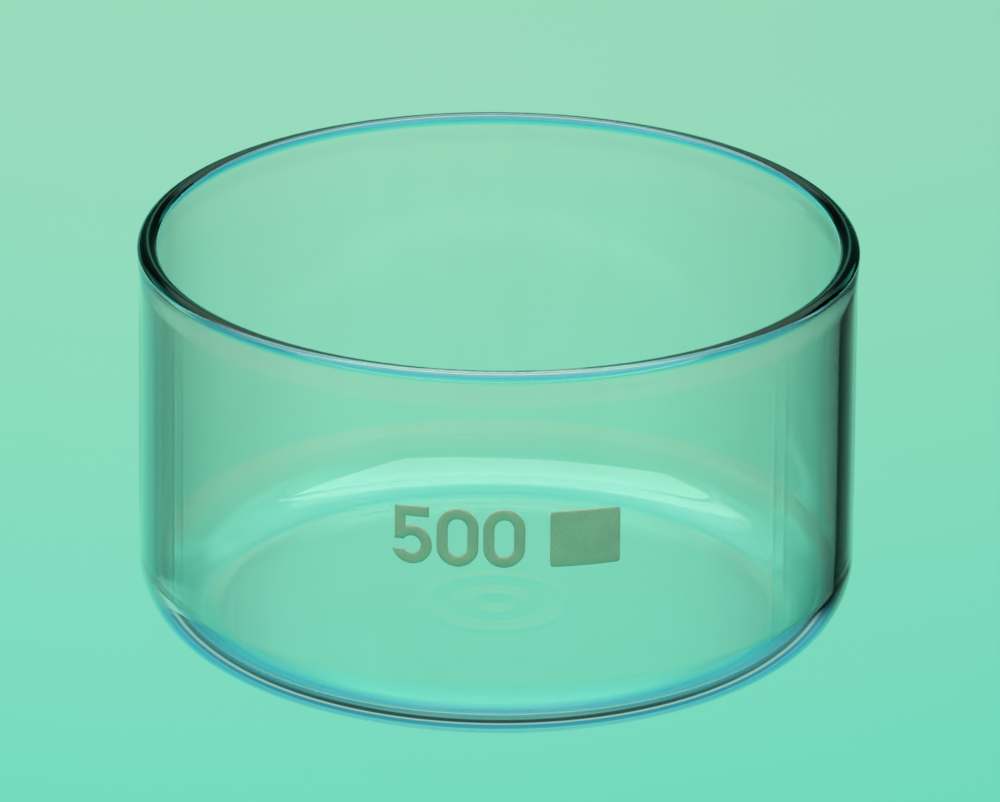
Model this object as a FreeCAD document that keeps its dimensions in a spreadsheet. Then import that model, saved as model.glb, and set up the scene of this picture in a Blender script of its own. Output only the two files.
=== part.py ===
"""A round glass laboratory dish with a flat base, and the fired enamel marks on its wall.

Frame: millimetres, +Z up, origin at the centre of the underside. The marks face -Y.
The dish is one revolved piece of glass. Each mark is a thin solid that stands on the wall: an
outline is pushed straight out through a thin upright ring that fits round the wall, and what
lies in both is turned about the axis to its place.
"""
import FreeCAD, Part
import math
import os

import Sketcher

# Driving dimensions, in millimetres. Distances round the wall are measured from -Y towards +X.
SIZES = {
    "outer_diameter": 115.0,       # over the straight wall
    "dish_height": 65.0,
    "wall_thickness": 2.9,
    "base_thickness": 2.4,
    "outer_corner": 11.8,          # radius between the underside and the wall
    "inner_corner": 9.6,           # radius between the floor and the wall
    "rim_bead": 0.25,              # how far the fire-polished rim stands out of the wall
    "rim_swell": 0.1,              # how far the rim stands in from the wall, inside
    "rim_flare": 4.4,              # height over which the wall swells into the rim
    "enamel_thickness": 0.1,
    "digit_bottom": 32.3,          # height of the number's lower edge above the underside
    "digit_height": 9.8,
    "digit_stroke": 1.75,
    "digit_gap": 0.75,
    "digit_start": -16.6,          # left end of the number, round the wall
    "five_width": 6.5,
    "five_inset": 0.5,             # how far the stem and the bar stop short of the full width
    "five_foot_rise": 0.8,         # the stem's foot, above the bowl's centre
    "five_tail_drop": 0.9,         # the bowl's lower end, below its centre
    "zero_width": 6.6,
    "patch_bottom": 32.2,
    "patch_height": 9.4,
    "patch_width": 11.3,
    "patch_centre": 14.2,          # middle of the patch, round the wall
    "patch_corner": 0.6,
    "ring_margin": 3.0,            # how far the thin ring reaches above and below the marks
}

RADIUS = "(Sizes.outer_diameter / 2)"
START, END, CENTRE = 1, 2, 3       # the two ends of a sketched edge, and the centre of an arc
ORIGIN = (-1, 1)                   # the sketch's own origin
UP_AXIS = -2                       # the sketch's own vertical axis

doc = FreeCAD.newDocument("Dish")


def make_sheet():
    """Put the driving dimensions in a spreadsheet, one named cell each."""
    cells = doc.addObject("Spreadsheet::Sheet", "Sizes")
    for row, (name, value) in enumerate(SIZES.items(), start=1):
        cells.set(f"A{row}", name)
        cells.set(f"B{row}", str(value))
        cells.setAlias(f"B{row}", name)
    doc.recompute()
    return cells


def upright_sketch(body, name):
    """A sketch on the body's XZ plane: its x runs along +X and its y along +Z."""
    sketch = body.newObject("Sketcher::SketchObject", name)
    plane = next(item for item in body.Origin.OriginFeatures if item.Role == "XZ_Plane")
    sketch.AttachmentSupport = [(plane, "")]
    sketch.MapMode = "FlatFace"
    return sketch


def point(x, y):
    """A point of a sketch."""
    return FreeCAD.Vector(x, y, 0)


def add_line(sketch, start, end):
    """Add a straight edge and return its number."""
    return sketch.addGeometry(Part.LineSegment(point(*start), point(*end)), False)


def add_arc(sketch, centre, radius, first, last):
    """Add an arc that runs counterclockwise between two angles in degrees, and return its number."""
    circle = Part.Circle(point(*centre), FreeCAD.Vector(0, 0, 1), radius)
    arc = Part.ArcOfCircle(circle, math.radians(first), math.radians(last))
    return sketch.addGeometry(arc, False)


def rule(sketch, kind, *places):
    """Add a constraint that has no number, such as Tangent or Vertical."""
    sketch.addConstraint(Sketcher.Constraint(kind, *places))


def size(sketch, kind, formula, *places):
    """Add a dimension and bind it to the sheet."""
    value = float(sketch.evalExpression(formula))
    index = sketch.addConstraint(Sketcher.Constraint(kind, *places, value))
    sketch.setExpression(f"Constraints[{index}]", formula)


def rim_curve(reach, height):
    """Radius and angle of the two equal arcs that carry the wall sideways by reach over a height."""
    radius = (height ** 2 + reach ** 2) / (4 * reach)
    return radius, math.degrees(math.asin(height / 2 / radius))


def make_dish():
    """The glass: half of its section, turned once round the axis."""
    s = sheet
    outer = s.outer_diameter / 2
    inner = outer - s.wall_thickness
    bead = outer + s.rim_bead
    brink = inner - s.rim_swell
    lip = (bead - brink) / 2                       # the rim's top is a half circle
    lip_level = s.dish_height - lip
    flare, turn = rim_curve(s.rim_bead, s.rim_flare)
    inner_flare, inner_turn = rim_curve(s.rim_swell, s.rim_flare)

    body = doc.addObject("PartDesign::Body", "Dish")
    body.Label = "glass_dish"
    section = upright_sketch(body, "dish_section")
    outer_foot = outer - s.outer_corner
    inner_foot = inner - s.inner_corner
    flare_level = lip_level - s.rim_flare
    inner_level = s.base_thickness + s.inner_corner

    base = add_line(section, (0, 0), (outer_foot, 0))
    corner = add_arc(section, (outer_foot, s.outer_corner), s.outer_corner, -90, 0)
    wall = add_line(section, (outer, s.outer_corner), (outer, flare_level))
    swell = add_arc(section, (outer + flare, flare_level), flare, 180 - turn, 180)
    ease = add_arc(section, (bead - flare, lip_level), flare, -turn, 0)
    rim = add_arc(section, (bead - lip, lip_level), lip, 0, 180)
    inner_ease = add_arc(section, (brink + inner_flare, lip_level), inner_flare, 180, 180 + inner_turn)
    inner_swell = add_arc(section, (inner - inner_flare, flare_level), inner_flare, 0, inner_turn)
    inside = add_line(section, (inner, flare_level), (inner, inner_level))
    cove = add_arc(section, (inner_foot, inner_level), s.inner_corner, -90, 0)
    floor = add_line(section, (inner_foot, s.base_thickness), (0, s.base_thickness))
    axis = add_line(section, (0, s.base_thickness), (0, 0))

    rule(section, "Coincident", base, START, *ORIGIN)
    rule(section, "Coincident", axis, END, *ORIGIN)
    rule(section, "Coincident", floor, END, axis, START)
    rule(section, "Tangent", base, END, corner, START)
    rule(section, "Tangent", corner, END, wall, START)
    rule(section, "Tangent", wall, END, swell, END)
    rule(section, "Tangent", swell, START, ease, START)
    rule(section, "Tangent", ease, END, rim, START)
    rule(section, "Tangent", rim, END, inner_ease, START)
    rule(section, "Tangent", inner_ease, END, inner_swell, END)
    rule(section, "Tangent", inner_swell, START, inside, START)
    rule(section, "Tangent", inside, END, cove, END)
    rule(section, "Tangent", cove, START, floor, START)
    for level in (base, floor):
        rule(section, "Horizontal", level)
    for upright in (axis, wall, inside):
        rule(section, "Vertical", upright)
    rule(section, "Horizontal", rim, CENTRE, rim, START)
    rule(section, "Horizontal", rim, CENTRE, rim, END)
    rule(section, "Horizontal", wall, END, inside, START)
    rule(section, "Equal", swell, ease)
    rule(section, "Equal", inner_swell, inner_ease)

    size(section, "DistanceX", RADIUS, *ORIGIN, corner, END)
    size(section, "Radius", "Sizes.outer_corner", corner)
    size(section, "Radius", "Sizes.inner_corner", cove)
    size(section, "DistanceX", "Sizes.wall_thickness", inside, START, wall, END)
    size(section, "DistanceY", "Sizes.base_thickness", axis, END, axis, START)
    size(section, "DistanceX", "Sizes.rim_bead", wall, END, ease, END)
    size(section, "DistanceY", "Sizes.rim_flare", wall, END, ease, END)
    size(section, "DistanceX", "Sizes.rim_swell", inner_ease, START, inside, START)
    lip_height = "Sizes.dish_height - (Sizes.wall_thickness + Sizes.rim_bead + Sizes.rim_swell) / 2"
    size(section, "DistanceY", lip_height, *ORIGIN, rim, CENTRE)

    glass = body.newObject("PartDesign::Revolution", "dish_glass")
    glass.Profile = section
    glass.ReferenceAxis = (section, ["V_Axis"])
    glass.Angle = 360
    section.Visibility = False
    return body


def draw_oval(sketch, half_width, straight, low):
    """An upright oval: two half circles joined by straight sides. Its lower centre is at low."""
    radius = float(sketch.evalExpression(half_width))
    bottom_level = float(sketch.evalExpression(low))
    top_level = bottom_level + float(sketch.evalExpression(straight))
    right = add_line(sketch, (radius, bottom_level), (radius, top_level))
    top = add_arc(sketch, (0, top_level), radius, 0, 180)
    left = add_line(sketch, (-radius, top_level), (-radius, bottom_level))
    bottom = add_arc(sketch, (0, bottom_level), radius, 180, 360)
    rule(sketch, "Tangent", right, END, top, START)
    rule(sketch, "Tangent", top, END, left, START)
    rule(sketch, "Tangent", left, END, bottom, START)
    rule(sketch, "Tangent", bottom, END, right, START)
    rule(sketch, "Vertical", right)
    rule(sketch, "Vertical", left)
    rule(sketch, "PointOnObject", bottom, CENTRE, UP_AXIS)
    size(sketch, "Radius", half_width, top)
    size(sketch, "DistanceY", low, *ORIGIN, bottom, CENTRE)
    size(sketch, "DistanceY", straight, bottom, CENTRE, top, CENTRE)


def draw_zero(sketch):
    """The figure 0: a plain upright oval loop of even width."""
    straight = "Sizes.digit_height - Sizes.zero_width"
    low = "Sizes.digit_bottom + Sizes.zero_width / 2"
    draw_oval(sketch, "Sizes.zero_width / 2", straight, low)
    draw_oval(sketch, "Sizes.zero_width / 2 - Sizes.digit_stroke", straight, low)


def draw_five(sketch):
    """The figure 5: a flat bar, a straight stem and an open round bowl, all of even width."""
    s = sheet
    stroke = s.digit_stroke
    bowl = s.five_width / 2
    hollow = bowl - stroke
    bowl_level = s.digit_bottom + bowl
    top = s.digit_bottom + s.digit_height
    left = s.five_inset - bowl
    right = bowl - s.five_inset
    stem = left + stroke

    def bowl_point(radius, rise):
        """The point on the left of a circle round the bowl's centre, at a height above it."""
        return -math.sqrt(radius ** 2 - rise ** 2), bowl_level + rise

    def bowl_angle(radius, rise):
        """The angle of that point, counterclockwise from +X."""
        return 180 - math.degrees(math.asin(rise / radius))

    meet = math.degrees(math.acos(stem / bowl))    # where the stem runs into the bowl
    meet_level = bowl_level + math.sqrt(bowl ** 2 - stem ** 2)
    foot_level = bowl_level + s.five_foot_rise
    bar_top = add_line(sketch, (left, top), (right, top))
    bar_end = add_line(sketch, (right, top), (right, top - stroke))
    bar_under = add_line(sketch, (right, top - stroke), (stem, top - stroke))
    stem_inside = add_line(sketch, (stem, top - stroke), (stem, meet_level))
    first = bowl_angle(bowl, -s.five_tail_drop) - 360
    outside = add_arc(sketch, (0, bowl_level), bowl, first, meet)
    tail = add_line(sketch, bowl_point(bowl, -s.five_tail_drop), bowl_point(hollow, -s.five_tail_drop))
    first = bowl_angle(hollow, -s.five_tail_drop) - 360
    bowl_inside = add_arc(sketch, (0, bowl_level), hollow, first, bowl_angle(hollow, s.five_foot_rise))
    stem_foot = add_line(sketch, bowl_point(hollow, s.five_foot_rise), (left, foot_level))
    stem_outside = add_line(sketch, (left, foot_level), (left, top))

    joins = (
        (bar_top, END, bar_end, START),
        (bar_end, END, bar_under, START),
        (bar_under, END, stem_inside, START),
        (stem_inside, END, outside, END),
        (outside, START, tail, START),
        (tail, END, bowl_inside, START),
        (bowl_inside, END, stem_foot, START),
        (stem_foot, END, stem_outside, START),
        (stem_outside, END, bar_top, START),
    )
    for places in joins:
        rule(sketch, "Coincident", *places)
    for level in (bar_top, bar_under, tail, stem_foot):
        rule(sketch, "Horizontal", level)
    for upright in (bar_end, stem_inside, stem_outside):
        rule(sketch, "Vertical", upright)
    rule(sketch, "PointOnObject", outside, CENTRE, UP_AXIS)
    rule(sketch, "Coincident", outside, CENTRE, bowl_inside, CENTRE)

    reach = "Sizes.five_width / 2 - Sizes.five_inset"
    size(sketch, "Radius", "Sizes.five_width / 2", outside)
    size(sketch, "Radius", "Sizes.five_width / 2 - Sizes.digit_stroke", bowl_inside)
    size(sketch, "DistanceY", "Sizes.digit_bottom + Sizes.five_width / 2", *ORIGIN, outside, CENTRE)
    size(sketch, "DistanceY", "Sizes.digit_bottom + Sizes.digit_height", *ORIGIN, bar_top, START)
    size(sketch, "DistanceX", reach, bar_top, START, *ORIGIN)
    size(sketch, "DistanceX", reach, *ORIGIN, bar_top, END)
    size(sketch, "DistanceY", "Sizes.digit_stroke", bar_end, END, bar_end, START)
    size(sketch, "DistanceX", "Sizes.digit_stroke", bar_top, START, stem_inside, START)
    size(sketch, "DistanceY", "Sizes.five_foot_rise", outside, CENTRE, stem_foot, END)
    size(sketch, "DistanceY", "Sizes.five_tail_drop", tail, START, outside, CENTRE)


def draw_patch(sketch):
    """The writing patch: an upright rectangle with rounded corners."""
    s = sheet
    radius = s.patch_corner
    side = s.patch_width / 2
    low = s.patch_bottom
    high = low + s.patch_height
    under = add_line(sketch, (-side + radius, low), (side - radius, low))
    low_right = add_arc(sketch, (side - radius, low + radius), radius, -90, 0)
    right = add_line(sketch, (side, low + radius), (side, high - radius))
    high_right = add_arc(sketch, (side - radius, high - radius), radius, 0, 90)
    over = add_line(sketch, (side - radius, high), (-side + radius, high))
    high_left = add_arc(sketch, (-side + radius, high - radius), radius, 90, 180)
    left = add_line(sketch, (-side, high - radius), (-side, low + radius))
    low_left = add_arc(sketch, (-side + radius, low + radius), radius, 180, 270)

    loop = (under, low_right, right, high_right, over, high_left, left, low_left)
    for edge, following in zip(loop, loop[1:] + loop[:1]):
        rule(sketch, "Tangent", edge, END, following, START)
    for level in (under, over):
        rule(sketch, "Horizontal", level)
    for upright in (left, right):
        rule(sketch, "Vertical", upright)
    for corner in (high_right, high_left, low_left):
        rule(sketch, "Equal", low_right, corner)
    size(sketch, "Radius", "Sizes.patch_corner", low_right)
    size(sketch, "DistanceX", "Sizes.patch_width / 2", *ORIGIN, right, START)
    size(sketch, "DistanceX", "Sizes.patch_width / 2", left, END, *ORIGIN)
    size(sketch, "DistanceY", "Sizes.patch_bottom", *ORIGIN, under, START)
    size(sketch, "DistanceY", "Sizes.patch_height", under, START, over, END)


def make_ring():
    """The thin upright ring that the marks are cut from: it fits the wall's outer face."""
    shells = []
    for name, radius in (("ring_outside", f"{RADIUS} + Sizes.enamel_thickness"), ("ring_bore", RADIUS)):
        cylinder = doc.addObject("Part::Cylinder", name)
        cylinder.setExpression("Radius", radius)
        cylinder.setExpression("Height", "Sizes.patch_height + 2 * Sizes.ring_margin")
        cylinder.setExpression("Placement.Base.z", "Sizes.patch_bottom - Sizes.ring_margin")
        shells.append(cylinder)
    ring = doc.addObject("Part::Cut", "enamel_ring")
    ring.Base, ring.Tool = shells
    return ring


def make_mark(label, draw, centre, ring):
    """One area of enamel: draw makes its outline, and centre is its middle, round the wall."""
    stamp = doc.addObject("PartDesign::Body", f"{label}_stamp")
    outline = upright_sketch(stamp, f"{label}_outline")
    draw(outline)
    pad = stamp.newObject("PartDesign::Pad", f"{label}_pad")
    pad.Profile = outline
    pad.setExpression("Length", f"{RADIUS} + Sizes.ring_margin")
    mark = doc.addObject("Part::Common", label)
    mark.Label = label
    mark.Base = stamp
    mark.Tool = ring
    turn = f"({centre}) / {RADIUS} * 1 rad"
    quarter = FreeCAD.Rotation(FreeCAD.Vector(0, 0, 1), 90)          # gives the angle its axis
    mark.Placement = FreeCAD.Placement(point(0, 0), quarter)
    mark.setExpression("Placement.Rotation.Angle", turn)
    return mark


def check(parts):
    """Stop if anything in the document failed, or if a sub-part is missing or not one sound solid."""
    for item in doc.Objects:
        if "Invalid" in item.State or "Error" in item.State:
            raise RuntimeError(f"{item.Name} failed: {item.State}")
        if item.TypeId == "Sketcher::SketchObject" and not item.FullyConstrained:
            raise RuntimeError(f"{item.Name} isn't fully constrained")
    for part in parts:
        shape = part.Shape
        if shape.isNull() or not shape.isValid() or len(shape.Solids) != 1:
            raise RuntimeError(f"{part.Label} isn't one valid solid")


sheet = make_sheet()
five_centre = "Sizes.digit_start + Sizes.five_width / 2"
first_zero = "Sizes.digit_start + Sizes.five_width + Sizes.digit_gap + Sizes.zero_width / 2"
next_zero = f"{first_zero} + Sizes.zero_width + Sizes.digit_gap"

dish = make_dish()
enamel_ring = make_ring()
sub_parts = [
    dish,
    make_mark("capacity_digit_five", draw_five, five_centre, enamel_ring),
    make_mark("capacity_digit_zero_1", draw_zero, first_zero, enamel_ring),
    make_mark("capacity_digit_zero_2", draw_zero, next_zero, enamel_ring),
    make_mark("writing_patch", draw_patch, "Sizes.patch_centre", enamel_ring),
]
doc.recompute()
check(sub_parts)

os.makedirs("parts", exist_ok=True)
for sub_part in sub_parts:
    sub_part.Shape.exportStep(f"parts/{sub_part.Label}.step")
    box = sub_part.Shape.optimalBoundingBox()
    print(f"{sub_part.Label}: {sub_part.Shape.Volume:.3f} mm3, "
          f"x {box.XMin:.2f} to {box.XMax:.2f}, y {box.YMin:.2f} to {box.YMax:.2f}, "
          f"z {box.ZMin:.2f} to {box.ZMax:.2f}")
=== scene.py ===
"""A clear glass laboratory dish with fired enamel marks, on a pale light table."""

import math

import bpy
import numpy as np
from mathutils import Matrix, Vector, geometry, noise


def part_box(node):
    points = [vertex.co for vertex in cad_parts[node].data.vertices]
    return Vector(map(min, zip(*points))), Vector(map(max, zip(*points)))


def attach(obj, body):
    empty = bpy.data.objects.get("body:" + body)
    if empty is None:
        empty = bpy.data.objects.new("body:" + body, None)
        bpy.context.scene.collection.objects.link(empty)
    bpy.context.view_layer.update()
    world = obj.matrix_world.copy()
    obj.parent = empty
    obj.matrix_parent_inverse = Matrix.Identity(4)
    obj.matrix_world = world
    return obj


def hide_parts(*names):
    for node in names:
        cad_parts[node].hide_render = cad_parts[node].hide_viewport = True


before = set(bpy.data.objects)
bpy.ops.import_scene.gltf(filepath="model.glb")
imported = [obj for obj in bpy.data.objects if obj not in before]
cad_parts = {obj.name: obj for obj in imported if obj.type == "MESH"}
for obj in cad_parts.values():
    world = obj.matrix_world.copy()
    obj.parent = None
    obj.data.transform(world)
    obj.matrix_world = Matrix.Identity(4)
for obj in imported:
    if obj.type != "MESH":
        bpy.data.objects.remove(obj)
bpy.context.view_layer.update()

MM = 0.001

# ------------------------------------------------------------------ the dish's own sizes, in metres
low_corner, high_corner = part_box("glass_dish")
HEIGHT = high_corner.z - low_corner.z
RIM_BEAD = 0.25 * MM                              # how far the rim stands out of the wall
RIM_SWELL = 0.1 * MM                              # how far it stands in from the wall, inside
OUTER = (high_corner.x - low_corner.x) / 2 - RIM_BEAD
WALL = 2.9 * MM
INNER = OUTER - WALL
BASE = 2.4 * MM
OUTER_CORNER = 11.8 * MM
INNER_CORNER = 9.3 * MM
FLOOR_EASE = 24.0 * MM                            # radius with which that corner eases into the floor
EASE_TURN = 7.0                                   # degrees of the turn that the ease takes
RIM_FLARE = 4.4 * MM
LIP = (WALL + RIM_BEAD + RIM_SWELL) / 2           # the rim's top is a half circle
CENTRE_LEVEL = 30 * MM                            # the camera and the floor's light are centred this high

TURNS = 450                                       # even steps round the dish


# ------------------------------------------------------------------ nodes
BRIGHTEST = 2.0                                   # ramps hold colours up to 1, and are scaled by this


class Shade:
    """A few short ways to add nodes to a material's or the world's node tree."""

    def __init__(self, tree):
        self.tree = tree

    def node(self, kind, inputs, output=0, **settings):
        made = self.tree.nodes.new(kind)
        for name, value in settings.items():
            setattr(made, name, value)
        for place, value in inputs.items():
            if isinstance(value, bpy.types.NodeSocket):
                self.tree.links.new(value, made.inputs[place])
            else:
                made.inputs[place].default_value = value
        return made if output is None else made.outputs[output]

    def maths(self, operation, *values):
        return self.node("ShaderNodeMath", dict(enumerate(values)), operation=operation)

    def colours(self, operation, *values):
        return self.node("ShaderNodeVectorMath", dict(enumerate(values)), operation=operation)

    def scaled(self, colour, share):
        return self.node("ShaderNodeVectorMath", {0: colour, "Scale": share}, operation="SCALE")

    def mix(self, share, first, second):
        """The first colour where share is 0 and the second where it is 1."""
        rest = self.maths("SUBTRACT", 1, share)
        return self.colours("ADD", self.scaled(first, rest), self.scaled(second, share))

    def step(self, value, start, end):
        """0 before start and 1 after end, with a smooth rise between them."""
        settings = {"Value": value, "From Min": start, "From Max": end}
        return self.node("ShaderNodeMapRange", settings, interpolation_type="SMOOTHSTEP")

    def ramp(self, value, stops):
        """The colour at a value, from (value, colour) stops."""
        first, last = stops[0][0], stops[-1][0]
        share = self.node("ShaderNodeMapRange", {"Value": value, "From Min": first, "From Max": last})
        made = self.tree.nodes.new("ShaderNodeValToRGB")
        self.tree.links.new(share, made.inputs[0])
        elements = made.color_ramp.elements
        while len(elements) < len(stops):
            elements.new(0.5)
        for element, (place, colour) in zip(elements, stops):
            element.position = (place - first) / (last - first)
            element.color = (*[channel / BRIGHTEST for channel in colour], 1)
        return self.scaled(made.outputs[0], BRIGHTEST)


# ------------------------------------------------------------------ outlines and meshes
def arc(centre, radius, first, last, steps):
    """Points of an arc between two angles in degrees, without its first point."""
    angles = np.radians(np.linspace(first, last, steps + 1)[1:])
    return [(centre[0] + radius * math.cos(a), centre[1] + radius * math.sin(a)) for a in angles]


def line(start, end, steps):
    """Points of a straight run, without its first point."""
    shares = np.linspace(0, 1, steps + 1)[1:]
    return [tuple((1 - s) * np.array(start) + s * np.array(end)) for s in shares]


def add_piece(name, vertices, faces, material):
    """A smooth-shaded object made of the given vertices and faces."""
    mesh = bpy.data.meshes.new(name)
    mesh.from_pydata(vertices.tolist(), [], faces)
    mesh.update()
    mesh.shade_smooth()
    mesh.materials.append(material)
    piece = bpy.data.objects.new(name, mesh)
    bpy.context.scene.collection.objects.link(piece)
    return piece


# ------------------------------------------------------------------ glass
RINGED = 16 * MM                                  # the base has faint rings inside this radius
PLAIN_BASE = 38 * MM                              # coarse steps reach this far out under the base
RING_MARKS = (                                    # radius, width and height of each ring in the base
    (0.0 * MM, 1.6 * MM, 0.026 * MM),
    (3.9 * MM, 0.8 * MM, -0.014 * MM),
    (7.4 * MM, 0.9 * MM, 0.012 * MM),
    (11.4 * MM, 1.0 * MM, -0.016 * MM),
)
STREAKS = (                                       # waves round the dish, height and phase of faint streaks
    (13, 0.006 * MM, 0.4),
    (31, 0.003 * MM, 1.9),
    (53, 0.0015 * MM, 4.0),
)
DRAW_LINES = (                                    # heading from -Y in degrees, and how far it stands out
    (-72.5, -0.014 * MM),
    (-62.8, -0.022 * MM),
    (-59.8, -0.016 * MM),
    (49.6, -0.020 * MM),
    (52.4, -0.014 * MM),
    (101.0, 0.010 * MM),
    (148.0, -0.008 * MM),
    (-128.0, 0.010 * MM),
)
LINE_WIDTH = 0.5                                  # degrees
LINE_REACH = 1.25                                 # finer steps up to this far from a line, in degrees
LINE_GAP = 0.2                                    # degrees between those steps and the next even one
LINE_FOOT = 6 * MM                                # lines and streaks fade in over this height at the bottom
LINE_TOP = 56 * MM                                # and end here
LINE_FADE = 4 * MM                                # after fading out over this height
ON_WALL = 0.001 * MM                              # a point this close to the outer radius is on the wall


def ring_marks(point):
    """A floor point with the shallow rings that the mould's centre leaves in the base."""
    radius, height = point
    for ring, width, rise in RING_MARKS:
        height += rise * math.exp(-((radius - ring) / width) ** 2)
    return radius, height


def draw_lines(angles, radius, height):
    """How far faint upright draw lines and streaks stand out of the outer wall."""
    fade_in = np.clip((height - OUTER_CORNER) / LINE_FOOT, 0, 1)
    fade_out = np.clip((LINE_TOP - height) / LINE_FADE, 0, 1)
    strength = np.where(radius > OUTER - ON_WALL, fade_in * fade_out, 0)
    rise = 0 * angles
    for waves, amount, phase in STREAKS:
        rise = rise + amount * np.sin(waves * np.radians(angles) + phase)
    for heading, amount in DRAW_LINES:
        away = (angles - heading + 90 + 180) % 360 - 180
        rise = rise + amount * np.exp(-(away / LINE_WIDTH) ** 2)
    return strength * rise


def turning_angles():
    """Angles round the dish from +X in degrees, with finer steps at the draw lines."""
    even = np.linspace(0, 360, TURNS, endpoint=False)
    finer = []
    for heading, _ in DRAW_LINES:
        middle = (heading - 90) % 360
        away = (even - middle + 180) % 360 - 180
        even = even[np.abs(away) > LINE_REACH + LINE_GAP]
        finer += [middle + LINE_REACH * step / 5 for step in range(-5, 6)]
    return np.sort(np.concatenate((even, np.array(finer) % 360)))


def rim_curve(reach, height):
    """Radius and angle of the two equal arcs that carry the wall sideways by reach over a height."""
    radius = (height ** 2 + reach ** 2) / (4 * reach)
    return radius, math.degrees(math.asin(height / 2 / radius))


def dish_profile():
    """Half of the dish's section as (radius, height) points, from the axis underneath to the axis inside."""
    flare, turn = rim_curve(RIM_BEAD, RIM_FLARE)
    inner_flare, inner_turn = rim_curve(RIM_SWELL, RIM_FLARE)
    lip_level = HEIGHT - LIP
    flare_level = lip_level - RIM_FLARE
    bead = OUTER + RIM_BEAD
    brink = INNER - RIM_SWELL
    ease = math.radians(EASE_TURN)
    corner_level = BASE + FLOOR_EASE * (1 - math.cos(ease)) + INNER_CORNER * math.cos(ease)
    floor_edge = INNER - INNER_CORNER - (FLOOR_EASE - INNER_CORNER) * math.sin(ease)
    points = [(0.0, 0.0)]
    points += line((0, 0), (PLAIN_BASE, 0), 5)
    points += line((PLAIN_BASE, 0), (OUTER - OUTER_CORNER, 0), 12)
    points += arc((OUTER - OUTER_CORNER, OUTER_CORNER), OUTER_CORNER, -90, 0, 32)
    points += line((OUTER, OUTER_CORNER), (OUTER, flare_level), 8)
    points += arc((OUTER + flare, flare_level), flare, 180, 180 - turn, 5)
    points += arc((bead - flare, lip_level), flare, -turn, 0, 5)
    points += arc((bead - LIP, lip_level), LIP, 0, 180, 28)
    points += arc((brink + inner_flare, lip_level), inner_flare, 180, 180 + inner_turn, 5)
    points += arc((INNER - inner_flare, flare_level), inner_flare, inner_turn, 0, 5)
    points += line((INNER, flare_level), (INNER, corner_level), 8)
    points += arc((INNER - INNER_CORNER, corner_level), INNER_CORNER, 0, EASE_TURN - 90, 26)
    points += arc((floor_edge, BASE + FLOOR_EASE), FLOOR_EASE, EASE_TURN - 90, -90, 10)
    points += line((floor_edge, BASE), (RINGED, BASE), 6)
    points += [ring_marks(point) for point in line((RINGED, BASE), (0, BASE), 32)]
    return points


def revolve(name, points, material):
    """A closed piece: a profile turned round Z. The first and last points lie on the axis."""
    rings = np.array(points[1:-1])
    angles = turning_angles()
    turns = len(angles)
    radius, height = rings[:, :1], rings[:, 1:]
    radius = radius + draw_lines(angles, radius, height)
    x = radius * np.cos(np.radians(angles))
    y = radius * np.sin(np.radians(angles))
    z = np.repeat(height, turns, axis=1)
    body = np.stack((x, y, z), axis=2).reshape(-1, 3)
    poles = [(0, 0, points[0][1]), (0, 0, points[-1][1])]
    vertices = np.vstack((body, poles))
    first_pole = len(body)
    faces = []
    for turn in range(turns):
        following = (turn + 1) % turns
        faces.append((first_pole, following, turn))
        for ring in range(len(rings) - 1):
            start = ring * turns
            faces.append((start + turn, start + following, start + turns + following, start + turns + turn))
        last = (len(rings) - 1) * turns
        faces.append((last + turn, last + following, first_pole + 1))
    return add_piece(name, vertices, faces, material)


def make_glass():
    """Clear borosilicate glass, with the faintest uneven tint."""
    material = bpy.data.materials.new("borosilicate_glass")
    material.use_nodes = True
    shader = material.node_tree.nodes["Principled BSDF"]
    shade = Shade(material.node_tree)
    place = shade.node("ShaderNodeTexCoord", {}, "Object")
    place = shade.colours("MULTIPLY", place, (1, 1, 0.2))
    cloud = shade.node("ShaderNodeTexNoise", {"Vector": place, "Scale": 140.0, "Detail": 3.0})
    tint = shade.mix(shade.step(cloud, 0.3, 0.7), (0.975, 0.99, 0.98), (1.0, 1.0, 1.0))
    material.node_tree.links.new(tint, shader.inputs["Base Color"])
    shader.inputs["Roughness"].default_value = 0.0
    shader.inputs["IOR"].default_value = 1.473
    shader.inputs["Transmission Weight"].default_value = 1.0
    return material


# ------------------------------------------------------------------ enamel marks
DIGIT_BOTTOM = 32.3 * MM
DIGIT_HEIGHT = 9.8 * MM
STROKE = 1.75 * MM
DIGIT_GAP = 0.75 * MM
DIGIT_START = -16.6 * MM                          # left end of the number, round the wall from -Y
FIVE_WIDTH = 6.5 * MM
FIVE_INSET = 0.5 * MM                             # how far the stem and the bar stop short of the full width
FIVE_FOOT_RISE = 0.8 * MM                         # the stem's foot, above the bowl's centre
FIVE_TAIL_DROP = 0.9 * MM                         # the bowl's lower end, below its centre
ZERO_WIDTH = 6.6 * MM
PATCH_BOTTOM = 32.2 * MM
PATCH_HEIGHT = 9.4 * MM
PATCH_WIDTH = 11.3 * MM
PATCH_CENTRE = 14.2 * MM
PATCH_CORNER = 0.6 * MM
ENAMEL = 0.1 * MM
ENAMEL_EDGE = 0.3                                 # share of that thickness at a mark's very edge
ENAMEL_RISE = 1.1 * MM                            # width over which it reaches the full thickness
ENAMEL_GRAIN = 0.008 * MM                         # height of the enamel's unevenness
GRAIN_LENGTH = 0.5 * MM
ENAMEL_SINK = 0.02 * MM                           # how far a mark reaches into the wall
WAVE_LENGTH = 0.7 * MM                            # length and height of the waves in a printed edge
WAVE_HEIGHT = 0.03 * MM
SECOND_PATTERN = Vector((0, 0, 40))               # far enough away in the noise to be unrelated to the first
PITCH = 0.35 * MM                                 # between the points inside a mark
EDGE_CLEAR = 0.22 * MM                            # between those points and the mark's edge


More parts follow.
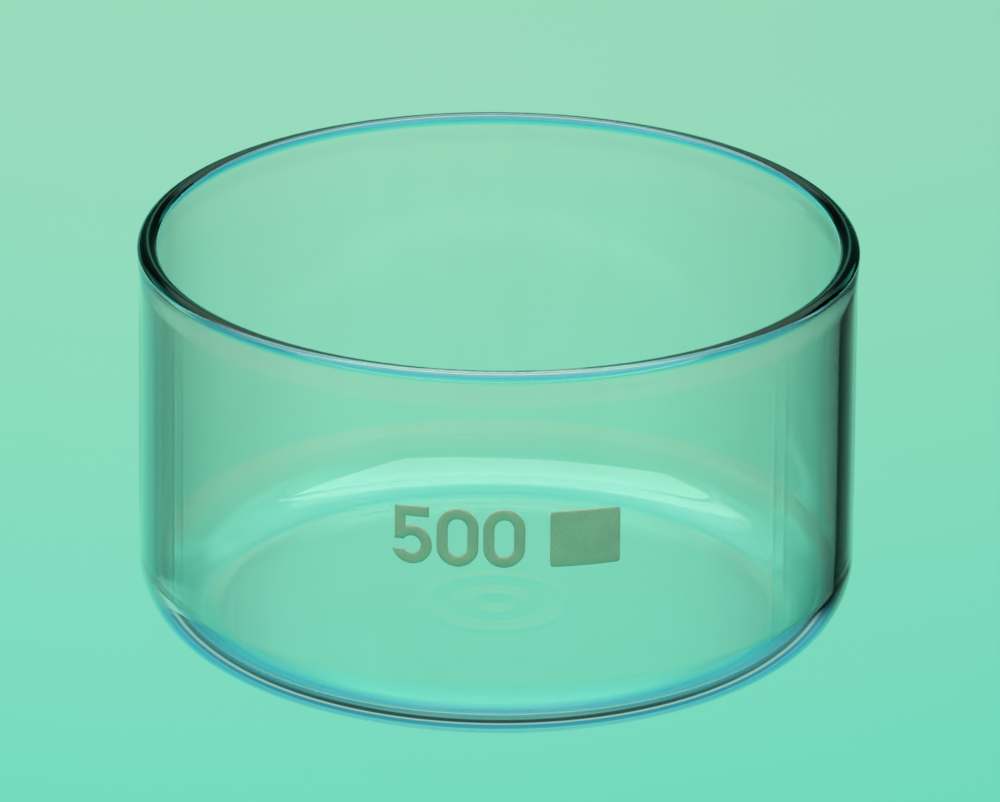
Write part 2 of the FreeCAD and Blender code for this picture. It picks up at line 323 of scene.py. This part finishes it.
def oval_outline(radius):
    """An upright oval round the middle of a figure 0, as (across, height) points."""
    low = DIGIT_BOTTOM + ZERO_WIDTH / 2
    high = DIGIT_BOTTOM + DIGIT_HEIGHT - ZERO_WIDTH / 2
    points = arc((0, high), radius, 0, 180, 30)
    points += line((-radius, high), (-radius, low), 10)
    points += arc((0, low), radius, 180, 360, 30)
    points += line((radius, low), (radius, high), 10)
    return points


def five_outline():
    """The figure 5: a flat bar, a straight stem and an open round bowl."""
    bowl = FIVE_WIDTH / 2
    hollow = bowl - STROKE
    level = DIGIT_BOTTOM + bowl
    top = DIGIT_BOTTOM + DIGIT_HEIGHT
    right = bowl - FIVE_INSET
    stem = STROKE - right
    foot = FIVE_FOOT_RISE
    tail = FIVE_TAIL_DROP
    meet = math.degrees(math.acos(stem / bowl))
    meet_level = level + math.sqrt(bowl ** 2 - stem ** 2)
    outer_end = -180 + math.degrees(math.asin(tail / bowl))
    inner_end = -180 + math.degrees(math.asin(tail / hollow))
    inner_start = 180 - math.degrees(math.asin(foot / hollow))
    foot_point = (hollow * math.cos(math.radians(inner_start)), level + foot)
    points = line(foot_point, (-right, level + foot), 4)
    points += line((-right, level + foot), (-right, top), 16)
    points += line((-right, top), (right, top), 16)
    points += line((right, top), (right, top - STROKE), 6)
    points += line((right, top - STROKE), (stem, top - STROKE), 10)
    points += line((stem, top - STROKE), (stem, meet_level), 6)
    points += arc((0, level), bowl, meet, outer_end, 44)
    inner_tail = (hollow * math.cos(math.radians(inner_end)), level - tail)
    points += line(points[-1], inner_tail, 6)
    points += arc((0, level), hollow, inner_end, inner_start, 24)
    return points


def patch_outline():
    """The writing patch: an upright rectangle with rounded corners."""
    side = PATCH_WIDTH / 2 - PATCH_CORNER
    low = PATCH_BOTTOM + PATCH_CORNER
    high = PATCH_BOTTOM + PATCH_HEIGHT - PATCH_CORNER
    points = [(side + PATCH_CORNER, high)]
    for corner, first in (((side, high), 0), ((-side, high), 90), ((-side, low), 180), ((side, low), 270)):
        start = arc(corner, PATCH_CORNER, 0, first, 1)[0]
        if first:
            points += line(points[-1], start, 28)
        points += arc(corner, PATCH_CORNER, first, first + 90, 5)
    points += line(points[-1], points[0], 28)[:-1]
    return points


def inside(points, loops):
    """Whether each point lies between the loops, by the even-odd rule."""
    crossings = np.zeros(len(points), int)
    for loop in loops:
        for (x1, y1), (x2, y2) in zip(loop, np.roll(loop, -1, axis=0)):
            spans = (y1 > points[:, 1]) != (y2 > points[:, 1])
            rise = (y2 - y1) if y2 != y1 else 1
            across = x1 + (points[:, 1] - y1) / rise * (x2 - x1)
            crossings += spans & (points[:, 0] < across)
    return crossings % 2 == 1


def print_edge(loop, seed):
    """A loop with the slight waviness of a printed edge."""
    moved = []
    for x, y in loop:
        place = Vector((x, y, seed * MM)) / WAVE_LENGTH
        sideways = noise.noise(place) * WAVE_HEIGHT
        upwards = noise.noise(place + SECOND_PATTERN) * WAVE_HEIGHT
        moved.append((x + sideways, y + upwards))
    return np.array(moved)


def make_mark(name, loops, centre, material):
    """A thin raised layer of enamel on the wall, inside loops of (across, height) points."""
    loops = [print_edge(loop, index) for index, loop in enumerate(loops)]
    rim_points = np.vstack(loops)
    low = rim_points.min(axis=0)
    high = rim_points.max(axis=0)
    grid = []
    for row, height in enumerate(np.arange(low[1], high[1], PITCH)):
        shift = PITCH / 2 * (row % 2)
        grid += [(x, height) for x in np.arange(low[0] + shift, high[0], PITCH)]
    grid = np.array(grid)
    distance = np.linalg.norm(grid[:, None] - rim_points[None], axis=2).min(axis=1)
    grid = grid[inside(grid, loops) & (distance > EDGE_CLEAR)]
    flat = np.vstack((rim_points, grid))
    edges = []
    first = 0
    for loop in loops:
        edges += [(first + i, first + (i + 1) % len(loop)) for i in range(len(loop))]
        first += len(loop)
    places = [Vector(point / MM) for point in flat]
    made = geometry.delaunay_2d_cdt(places, edges, [], 0, 1e-6)
    flat = np.array([tuple(point) for point in made[0]]) * MM
    triangles = np.array(made[2])
    triangles = triangles[inside(flat[triangles].mean(axis=1), loops)]
    edge_distance = np.linalg.norm(flat[:, None] - rim_points[None], axis=2).min(axis=1)
    thickness = ENAMEL * (ENAMEL_EDGE + (1 - ENAMEL_EDGE) * np.clip(edge_distance / ENAMEL_RISE, 0, 1))
    grain = [noise.noise(Vector((x, y, 0)) / GRAIN_LENGTH) for x, y in flat]
    thickness = thickness + ENAMEL_GRAIN * np.array(grain)
    heading = np.arcsin(flat[:, 0] / OUTER) + centre / OUTER

    def on_wall(radius):
        return np.stack((radius * np.sin(heading), -radius * np.cos(heading), flat[:, 1]), axis=1)

    count = len(flat)
    vertices = np.vstack((on_wall(OUTER + thickness), on_wall(OUTER - ENAMEL_SINK + 0 * thickness)))
    faces = triangles.tolist()
    faces += (triangles[:, ::-1] + count).tolist()
    sides = {}                                    # the edges that only one triangle has, in order
    for a, b, c in triangles.tolist():
        for start, end in ((a, b), (b, c), (c, a)):
            if (end, start) in sides:
                del sides[end, start]
            else:
                sides[start, end] = True
    faces += [(start + count, end + count, end, start) for start, end in sides]
    return add_piece(name, vertices, faces, material)


def make_enamel():
    """Pale grey fired enamel with a fine printed grain."""
    material = bpy.data.materials.new("fired_enamel")
    material.use_nodes = True
    shader = material.node_tree.nodes["Principled BSDF"]
    shade = Shade(material.node_tree)
    place = shade.node("ShaderNodeTexCoord", {}, "Object")
    grain = shade.node("ShaderNodeTexNoise", {"Vector": place, "Scale": 3500.0, "Detail": 3.0})
    cloud = shade.node("ShaderNodeTexNoise", {"Vector": place, "Scale": 240.0, "Detail": 2.0})
    tone = shade.maths("ADD", shade.maths("MULTIPLY", grain, 0.5), shade.maths("MULTIPLY", cloud, 0.5))
    share = shade.step(tone, 0.35, 0.65)
    colour = shade.mix(share, (0.63, 0.65, 0.53), (0.75, 0.77, 0.63))
    material.node_tree.links.new(colour, shader.inputs["Base Color"])
    shader.inputs["Roughness"].default_value = 0.55
    bump = shade.node("ShaderNodeBump", {"Height": grain, "Strength": 0.3, "Distance": 0.01 * MM})
    material.node_tree.links.new(bump, shader.inputs["Normal"])
    return material


def make_marks():
    """The number 500 and the writing patch."""
    enamel = make_enamel()
    zero = [oval_outline(ZERO_WIDTH / 2), oval_outline(ZERO_WIDTH / 2 - STROKE)]
    five_centre = DIGIT_START + FIVE_WIDTH / 2
    zero_centre = DIGIT_START + FIVE_WIDTH + DIGIT_GAP + ZERO_WIDTH / 2
    marks = (
        ("enamel_five", [five_outline()], five_centre, "capacity_digit_five"),
        ("enamel_zero_1", zero, zero_centre, "capacity_digit_zero_1"),
        ("enamel_zero_2", zero, zero_centre + ZERO_WIDTH + DIGIT_GAP, "capacity_digit_zero_2"),
        ("enamel_patch", [patch_outline()], PATCH_CENTRE, "writing_patch"),
    )
    for name, loops, centre, node in marks:
        mark = make_mark(name, loops, centre, enamel)
        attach(mark, "root")
        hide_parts(node)


# ------------------------------------------------------------------ studio
# The dish stands in front of a lit pale sweep, between dark sides that draw its outline, under a broad soft
# light. Headings are degrees from +Y towards +X and elevations are degrees above the horizon, both as seen
# from the dish. A colour is (red, green, blue) light.
BEHIND = (                                        # straight behind the dish, by elevation
    (-32, (0.12, 0.64, 0.52)),
    (-28, (0.14, 0.66, 0.53)),
    (-24, (0.18, 0.71, 0.53)),
    (-22.4, (0.25, 0.72, 0.52)),
    (-20.8, (0.32, 0.71, 0.51)),
    (-15, (0.31, 0.66, 0.50)),
    (-6, (0.15, 0.75, 0.62)),
    (0, (0.20, 1.00, 0.75)),
)
SWEEP = (                                         # share of that light, by heading
    (-44, (0, 0, 0)),
    (-36, (0.25, 0.42, 0.42)),
    (-28, (0.34, 0.62, 0.62)),
    (-20, (0.50, 0.74, 0.72)),
    (-12, (0.74, 1.02, 0.97)),
    (-6, (0.85, 1.0, 0.96)),
    (-2, (1.0, 1.0, 1.0)),
    (0, (1.0, 0.99, 0.99)),
    (3, (0.88, 0.97, 0.95)),
    (6, (0.74, 0.94, 0.90)),
    (9, (0.55, 0.84, 0.80)),
    (13, (0.42, 0.62, 0.58)),
    (16, (0.38, 0.42, 0.40)),
    (20, (0.10, 0.12, 0.12)),
    (30, (0.03, 0.04, 0.04)),
    (40, (0, 0, 0)),
)
TABLE_WITH_PAINTED_SHADE = (                                         # the table's light, by the angle away from straight behind, with a band of painted shade
    (0, (0.25, 0.72, 0.52)),
    (4, (0.15, 0.67, 0.52)),
    (10, (0.09, 0.63, 0.51)),
    (15, (0.05, 0.53, 0.51)),
    (20, (0.03, 0.42, 0.50)),
    (27, (0.03, 0.30, 0.44)),
    (32, (0.06, 0.30, 0.38)),
    (34.5, (0.36, 0.65, 0.50)),
    (37, (0.36, 0.65, 0.50)),
    # painted shade: the dark stops from 40 to 48.5 degrees stand in for the dish's own shade on the table
    # beneath it
    (40, (0.05, 0.08, 0.07)),
    (41.5, (0.01, 0.02, 0.02)),
    (48.5, (0.01, 0.02, 0.02)),
    (52, (0.13, 0.38, 0.26)),
    (56, (0.07, 0.30, 0.31)),
    (66, (0.05, 0.36, 0.42)),
    (72, (0.05, 0.38, 0.40)),
)
TABLE_SIDES = (0.04, 0.30, 0.33)
STRAIGHT_BEHIND = (0.0, math.cos(math.radians(22)), -math.sin(math.radians(22)))
IN_FRONT_BELOW = (                                # the table in front of the dish, by elevation
    (-90, (0.10, 0.42, 0.45)),
    (-81, (0.10, 0.42, 0.45)),
    (-78, (0.60, 0.80, 0.75)),
    (-71, (0.60, 0.80, 0.75)),
    (-68, (0.30, 0.60, 0.60)),
    (-66, (0.40, 0.80, 0.75)),
    (-55, (0.50, 1.50, 1.20)),
    (-42, (0.10, 0.95, 0.70)),
    (-32, (0.04, 0.75, 0.50)),
    (-24, (0.05, 0.60, 0.30)),
    (-15, (0.03, 0.50, 0.20)),
    (0, (0.00, 0.30, 0.12)),
)
ABOVE_BEHIND = (                                  # the room above and behind, by elevation
    (0, (0.20, 1.00, 0.75)),
    (9, (0.30, 1.30, 0.95)),
    (13, (0.05, 0.70, 0.60)),
    (18, (0.12, 0.60, 0.48)),
    (25, (0.25, 0.65, 0.46)),
    (30, (0.50, 1.20, 0.85)),
    (40, (0.60, 1.20, 0.85)),
    (48, (0.70, 1.50, 1.15)),
    (60, (1.00, 1.60, 1.30)),
    (90, (1.40, 1.60, 1.40)),
)
LOW_ABOVE = (                                     # share of that light low down, by heading
    (-80, (0.02, 0.02, 0.02)),
    (-66, (0.5, 0.9, 0.9)),
    (-44, (0.5, 0.9, 0.9)),
    (-34, (0.05, 0.05, 0.05)),
    (-6, (0.08, 0.08, 0.08)),
    (-3, (1, 1, 1)),
    (3, (1, 1, 1)),
    (6, (0.08, 0.08, 0.08)),
    (29, (0.05, 0.05, 0.05)),
    (34, (0.5, 0.9, 0.9)),
    (39, (0.5, 0.9, 0.9)),
    (46, (0.02, 0.02, 0.02)),
)
ABOVE_IN_FRONT = (                                # the room above and in front, by elevation
    (0, (0.00, 0.30, 0.12)),
    (8, (0.00, 0.05, 0.02)),
    (42, (0.02, 0.04, 0.03)),
    (50, (0.20, 0.35, 0.25)),
    (66, (0.50, 0.70, 0.50)),
    (90, (1.40, 1.60, 1.40)),
)
OTHER_SWEEPS = (                                  # heading, lowest and highest elevation of more pale sweeps
    (-45, -29.0, -23.3),
    (-90, -8.0, 2.0),
    (135, -18.5, -11.5),
)
SWEEP_COLOUR = (0.25, 0.72, 0.52)
SWEEP_SIDES = (26, 3)                             # such a sweep is gone and is full this far from its heading
SWEEP_FOOT = 0.3                                  # degrees over which it fades at its foot
SWEEP_TOP = 0.1                                   # and to each side of its top
TO_FRONT = (85, 140)                              # degrees off straight behind where the front takes over
TO_TABLE_SIDES = (34, 58)                         # the same, where the table turns to its sides
TO_TABLE = (-26, -32)                             # elevations where the sweep turns to the table
TO_ROOM = (27, 34)                                # elevations where the room's light goes all the way round
HORIZON = (-0.5, 0.5)


def light_from(shade, direction):
    """The studio's light for a direction seen from the dish, as a colour."""
    x, y, z = shade.node("ShaderNodeSeparateXYZ", {0: direction}, None).outputs
    flat = shade.colours("MULTIPLY", direction, (1, 1, 0))
    level = shade.node("ShaderNodeVectorMath", {0: flat}, "Value", operation="LENGTH")
    heading = shade.maths("MULTIPLY", shade.maths("ARCTAN2", x, y), 180 / math.pi)
    elevation = shade.maths("MULTIPLY", shade.maths("ARCTAN2", z, level), 180 / math.pi)
    off_axis = shade.maths("ABSOLUTE", heading)
    in_front = shade.step(off_axis, *TO_FRONT)

    sweep = shade.colours("MULTIPLY", shade.ramp(elevation, BEHIND), shade.ramp(heading, SWEEP))
    unit = shade.colours("NORMALIZE", direction)
    turn = shade.node("ShaderNodeVectorMath", {0: unit, 1: STRAIGHT_BEHIND}, "Value", operation="DOT_PRODUCT")
    turn = shade.maths("MULTIPLY", shade.maths("ARCCOSINE", turn), 180 / math.pi)
    # the table's light carries a painted band of the dish's shade beneath it
    table = shade.mix(shade.step(off_axis, *TO_TABLE_SIDES), shade.ramp(turn, TABLE_WITH_PAINTED_SHADE), TABLE_SIDES)
    below = shade.mix(shade.step(elevation, *TO_TABLE), sweep, table)
    below = shade.mix(in_front, below, shade.ramp(elevation, IN_FRONT_BELOW))
    above = shade.ramp(elevation, ABOVE_BEHIND)
    low_above = shade.colours("MULTIPLY", above, shade.ramp(heading, LOW_ABOVE))
    above = shade.mix(shade.step(elevation, *TO_ROOM), low_above, above)
    above = shade.mix(in_front, above, shade.ramp(elevation, ABOVE_IN_FRONT))
    light = shade.mix(shade.step(elevation, *HORIZON), below, above)

    for middle, lowest, highest in OTHER_SWEEPS:
        turned = shade.maths("SUBTRACT", heading, middle)
        turned = shade.maths("ABSOLUTE", shade.maths("WRAP", turned, -180, 180))
        across = shade.step(turned, *SWEEP_SIDES)
        over = shade.step(elevation, lowest - SWEEP_FOOT, lowest)
        under = shade.step(elevation, highest + SWEEP_TOP, highest - SWEEP_TOP)
        share = shade.maths("MULTIPLY", across, shade.maths("MULTIPLY", over, under))
        light = shade.colours("MAXIMUM", light, shade.scaled(SWEEP_COLOUR, share))
    return light


FLOOR_DEPTH = 5.0                                 # metres below the dish
FLOOR_RADIUS = 260.0
SOFTBOX_SIZE = (2.16, 1.44)
SOFTBOX_PLACE = (-0.22, -0.02, 1.2)
SOFTBOX_TURN = -10                                # degrees about Z
SOFTBOX_COLOUR = (1.0, 0.88, 0.84)
SOFTBOX_RADIANCE = 1.95


def make_floor():
    """A floor that glows with the studio's light and shade painted on it by direction: pale behind the dish,
    dark to its sides, with a painted band of shade beneath it; far enough below that the dish neither touches
    it nor shades it.
    """
    bpy.ops.mesh.primitive_circle_add(vertices=128, radius=FLOOR_RADIUS, fill_type="NGON")
    floor = bpy.context.object
    floor.name = "floor"
    floor.location = (0, 0, -FLOOR_DEPTH)
    material = bpy.data.materials.new("floor_glow_painted_light")
    material.use_nodes = True
    material.node_tree.nodes.clear()
    shade = Shade(material.node_tree)
    place = shade.node("ShaderNodeTexCoord", {}, "Object")
    direction = shade.colours("ADD", place, (0, 0, -FLOOR_DEPTH - CENTRE_LEVEL))
    # painted light and shade: the floor's glow is the studio's light for each direction, seen from the dish
    glow = shade.node("ShaderNodeEmission", {"Color": light_from(shade, direction)})
    shade.node("ShaderNodeOutputMaterial", {"Surface": glow}, None)
    floor.data.materials.append(material)


def make_room():
    """The light from the rest of the studio, and one broad soft lamp overhead."""
    world = bpy.data.worlds.new("studio")
    world.use_nodes = True
    world.node_tree.nodes.clear()
    shade = Shade(world.node_tree)
    direction = shade.node("ShaderNodeTexCoord", {}, "Generated")
    glow = shade.node("ShaderNodeBackground", {"Color": light_from(shade, direction)})
    shade.node("ShaderNodeOutputWorld", {"Surface": glow}, None)
    bpy.context.scene.world = world

    lamp = bpy.data.lights.new("softbox", "AREA")
    lamp.shape = "RECTANGLE"
    lamp.size, lamp.size_y = SOFTBOX_SIZE
    lamp.color = SOFTBOX_COLOUR
    lamp.energy = SOFTBOX_RADIANCE * math.pi * lamp.size * lamp.size_y
    softbox = bpy.data.objects.new("softbox", lamp)
    softbox.location = SOFTBOX_PLACE
    softbox.rotation_euler.z = math.radians(SOFTBOX_TURN)
    bpy.context.scene.collection.objects.link(softbox)


# ------------------------------------------------------------------ camera
def make_camera():
    """A long lens that looks down on the dish from in front."""
    distance = 2.354
    elevation = math.radians(22.37)
    roll = math.radians(-0.52)
    target = Vector((0, 0, CENTRE_LEVEL))
    place = target + distance * Vector((0, -math.cos(elevation), math.sin(elevation)))

    def axes(forward):
        right = forward.cross(Vector((0, 0, 1))).normalized()
        up = right.cross(forward)
        return (math.cos(roll) * right - math.sin(roll) * up, math.sin(roll) * right + math.cos(roll) * up)

    right, up = axes((target - place).normalized())
    aim = target + right * (0.5 * MM) + up * (6.55 * MM)
    forward = (aim - place).normalized()
    right, up = axes(forward)
    data = bpy.data.cameras.new("camera")
    data.sensor_width = 36
    data.lens = 527.8
    data.clip_start = 0.1
    data.clip_end = 500
    camera = bpy.data.objects.new("camera", data)
    camera.matrix_world = Matrix.Translation(place) @ Matrix((right, up, -forward)).transposed().to_4x4()
    bpy.context.scene.collection.objects.link(camera)
    bpy.context.scene.camera = camera


glass = revolve("dish_glass", dish_profile(), make_glass())
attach(glass, "root")
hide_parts("glass_dish")

make_marks()
make_floor()
make_room()
make_camera()

scene = bpy.context.scene
scene.view_settings.view_transform = "Standard"
scene.view_settings.look = "None"
scene.cycles.max_bounces = 32
scene.cycles.transmission_bounces = 32
scene.cycles.glossy_bounces = 16
